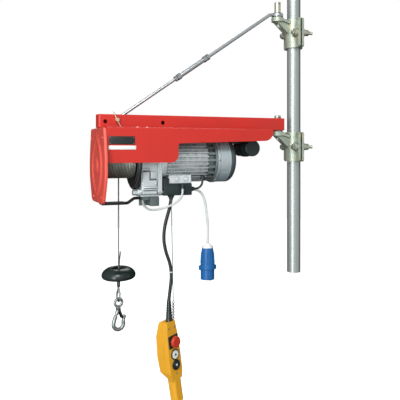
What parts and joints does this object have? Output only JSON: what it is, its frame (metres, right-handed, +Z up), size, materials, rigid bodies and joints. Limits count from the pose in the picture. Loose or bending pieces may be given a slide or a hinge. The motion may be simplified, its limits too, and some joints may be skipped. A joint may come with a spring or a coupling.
{
  "type": "swing arm rope hoist",
  "caption": "Electric wire rope hoist on a swing arm clamped to a scaffold tube, with pendant control, counterweight and latched hook.",
  "frame": {"origin": "centre of the lower end of the scaffold tube", "axes": "+Z up the tube, +X from the drum toward the tube, -Y toward the side with the control box and pendant"},
  "size_m": [0.774, 0.238, 1.3852],
  "materials": {
    "galvanised_tube": "dull galvanised, faint spangle",
    "zinc_casting": "zinc passivated casting, satin",
    "plated_steel": "zinc plated, satin",
    "red_paint": "orange red powder coat, semi gloss",
    "rod_steel": "bright drawn steel",
    "brass_clip": "yellow passivated",
    "black_steel": "black enamel, satin",
    "wire_rope": "greased wire rope",
    "machined_steel": "machined",
    "cast_aluminium": "die cast, matt",
    "motor_aluminium": "ribbed casting, satin",
    "lamination": "laminated steel and copper windings",
    "dark_casting": "dark grey casting",
    "cowl_paint": "blue grey sheet, satin",
    "black_plastic": "moulded, fine texture",
    "grey_plastic": "light grey moulding",
    "rubber": "moulded rubber",
    "yellow_plastic": "golden yellow moulding",
    "red_plastic": "red moulding",
    "white_plastic": "white moulding",
    "blue_plastic": "blue moulding",
    "white_cable": "white PVC sheath",
    "black_cable": "black rubber sheath"
  },
  "bodies": {
    "mast": {"support_pole": "galvanised_tube", "lower_clamp_body": "zinc_casting", "upper_clamp_body": "zinc_casting", "clamp_bolts": "plated_steel", "pivot_pins": "plated_steel"},
    "lower_cap": {"lower_clamp_cap": "zinc_casting", "lower_clamp_nuts": "plated_steel"},
    "upper_cap": {"upper_clamp_cap": "zinc_casting", "upper_clamp_nuts": "plated_steel"},
    "turnbuckle": {"turnbuckle_sleeve": "rod_steel"},
    "drum": {"rope_drum": "black_steel", "rope_wraps": "wire_rope", "drum_shaft": "machined_steel", "drum_gear": "machined_steel"},
    "layshaft": {"layshaft": "machined_steel", "first_stage_gear": "machined_steel"},
    "rotor": {"rotor_shaft": "machined_steel", "cooling_fan": "black_plastic"},
    "lever": {"limit_lever": "black_steel"},
    "load": {"counterweight": "rubber", "rope_ferrule": "rod_steel", "rope_eye": "wire_rope"},
    "hook": {"load_hook": "plated_steel"},
    "latch": {"hook_latch": "black_steel"},
    "stop_button": {"emergency_stop": "red_plastic"},
    "raise_button": {"up_button": "white_plastic"},
    "lower_button": {"down_button": "black_plastic"},
    "arm": {"ball_bearings": "machined_steel", "cable_boot": "rubber", "cable_glands": "black_plastic", "capacitor": "black_plastic", "capacitor_strap": "black_steel", "contact_blocks": "black_plastic", "control_box": "black_plastic", "end_bell": "dark_casting", "end_cover": "red_paint", "fan_cowl": "cowl_paint", "gearbox_case": "cast_aluminium", "gearbox_cover": "cast_aluminium", "hex_screws": "plated_steel", "hoist_frame": "red_paint", "limit_switch": "dark_casting", "limit_switch_lead": "white_cable", "mains_lead": "white_cable", "mains_plug": "blue_plastic", "motor_housing": "motor_aluminium", "motor_lead": "black_cable", "pendant_back_shell": "yellow_plastic", "pendant_cable": "black_cable", "pendant_front_shell": "yellow_plastic", "pivot_bushing": "plated_steel", "plug_cap": "white_plastic", "rope_fall": "wire_rope", "stator_core": "lamination", "suspension_line": "rod_steel", "swing_arm": "red_paint", "terminal_base": "grey_plastic", "tie_rod_lower": "rod_steel", "tie_rod_pin": "brass_clip", "tie_rod_upper": "rod_steel"}
  },
  "joints": [
    {"name": "arm_swivel", "type": "hinge", "parent": "mast", "child": "arm", "pos_m": [-0.067, 0, 0.531], "axis": [0, 0, 1], "range_deg": [-90, 90]},
    {"name": "drum_spin", "type": "hinge", "parent": "arm", "child": "drum", "pos_m": [-0.65, 0, 0.408], "axis": [1, 0, 0], "range_deg": [0, 200]},
    {"name": "layshaft_spin", "type": "hinge", "parent": "arm", "child": "layshaft", "pos_m": [-0.556, 0, 0.3555], "axis": [1, 0, 0], "range_deg": [-970, 0]},
    {"name": "rotor_spin", "type": "hinge", "parent": "arm", "child": "rotor", "pos_m": [-0.43, 0, 0.408], "axis": [1, 0, 0], "range_deg": [0, 7500]},
    {"name": "hook_travel", "type": "slide", "parent": "arm", "child": "load", "axis": [0, 0, 1], "range_m": [0, 0.195], "deforming": ["rope_fall"]},
    {"name": "hook_swing", "type": "hinge", "parent": "load", "child": "hook", "pos_m": [-0.6345, 0.0555, -0.0575], "axis": [-0.2079, 0.9781, 0], "range_deg": [-30, 30]},
    {"name": "latch_swing", "type": "hinge", "parent": "hook", "child": "latch", "pos_m": [-0.63352, 0.05571, -0.084], "axis": [-0.2079, 0.9781, 0], "range_deg": [0, 20], "stiffness_Nm_per_rad": 0.01, "springref_deg": -20.05},
    {"name": "lever_lift", "type": "hinge", "parent": "arm", "child": "lever", "pos_m": [-0.555, 0.047, 0.2815], "axis": [0, 1, 0], "range_deg": [0, 10], "stiffness_Nm_per_rad": 0.8, "springref_deg": -11.46},
    {"name": "stop_press", "type": "slide", "parent": "arm", "child": "stop_button", "axis": [-0.4351, 0.8988, -0.0534], "range_m": [0, 0.004], "stiffness_N_per_m": 800, "springref_m": -0.001},
    {"name": "raise_press", "type": "slide", "parent": "arm", "child": "raise_button", "axis": [-0.4351, 0.8988, -0.0534], "range_m": [0, 0.003], "stiffness_N_per_m": 500, "springref_m": -0.001},
    {"name": "lower_press", "type": "slide", "parent": "arm", "child": "lower_button", "axis": [-0.4351, 0.8988, -0.0534], "range_m": [0, 0.003], "stiffness_N_per_m": 500, "springref_m": -0.001},
    {"name": "lower_cap_release", "type": "slide", "parent": "mast", "child": "lower_cap", "axis": [1, 0, 0], "range_m": [0, 0.012]},
    {"name": "upper_cap_release", "type": "slide", "parent": "mast", "child": "upper_cap", "axis": [1, 0, 0], "range_m": [0, 0.012]},
    {"name": "turnbuckle_turn", "type": "hinge", "parent": "arm", "child": "turnbuckle", "pos_m": [-0.3956, 0, 0.71821], "axis": [0.8231, 0, 0.5678], "range_deg": [-180, 180]}
  ],
  "couplings": [
    {"joint": "layshaft_spin", "follows": "drum_spin", "ratio": -4.8333},
    {"joint": "rotor_spin", "follows": "drum_spin", "ratio": 37.458},
    {"joint": "hook_travel", "follows": "drum_spin", "m_per_rad": 0.0555}
  ]
}
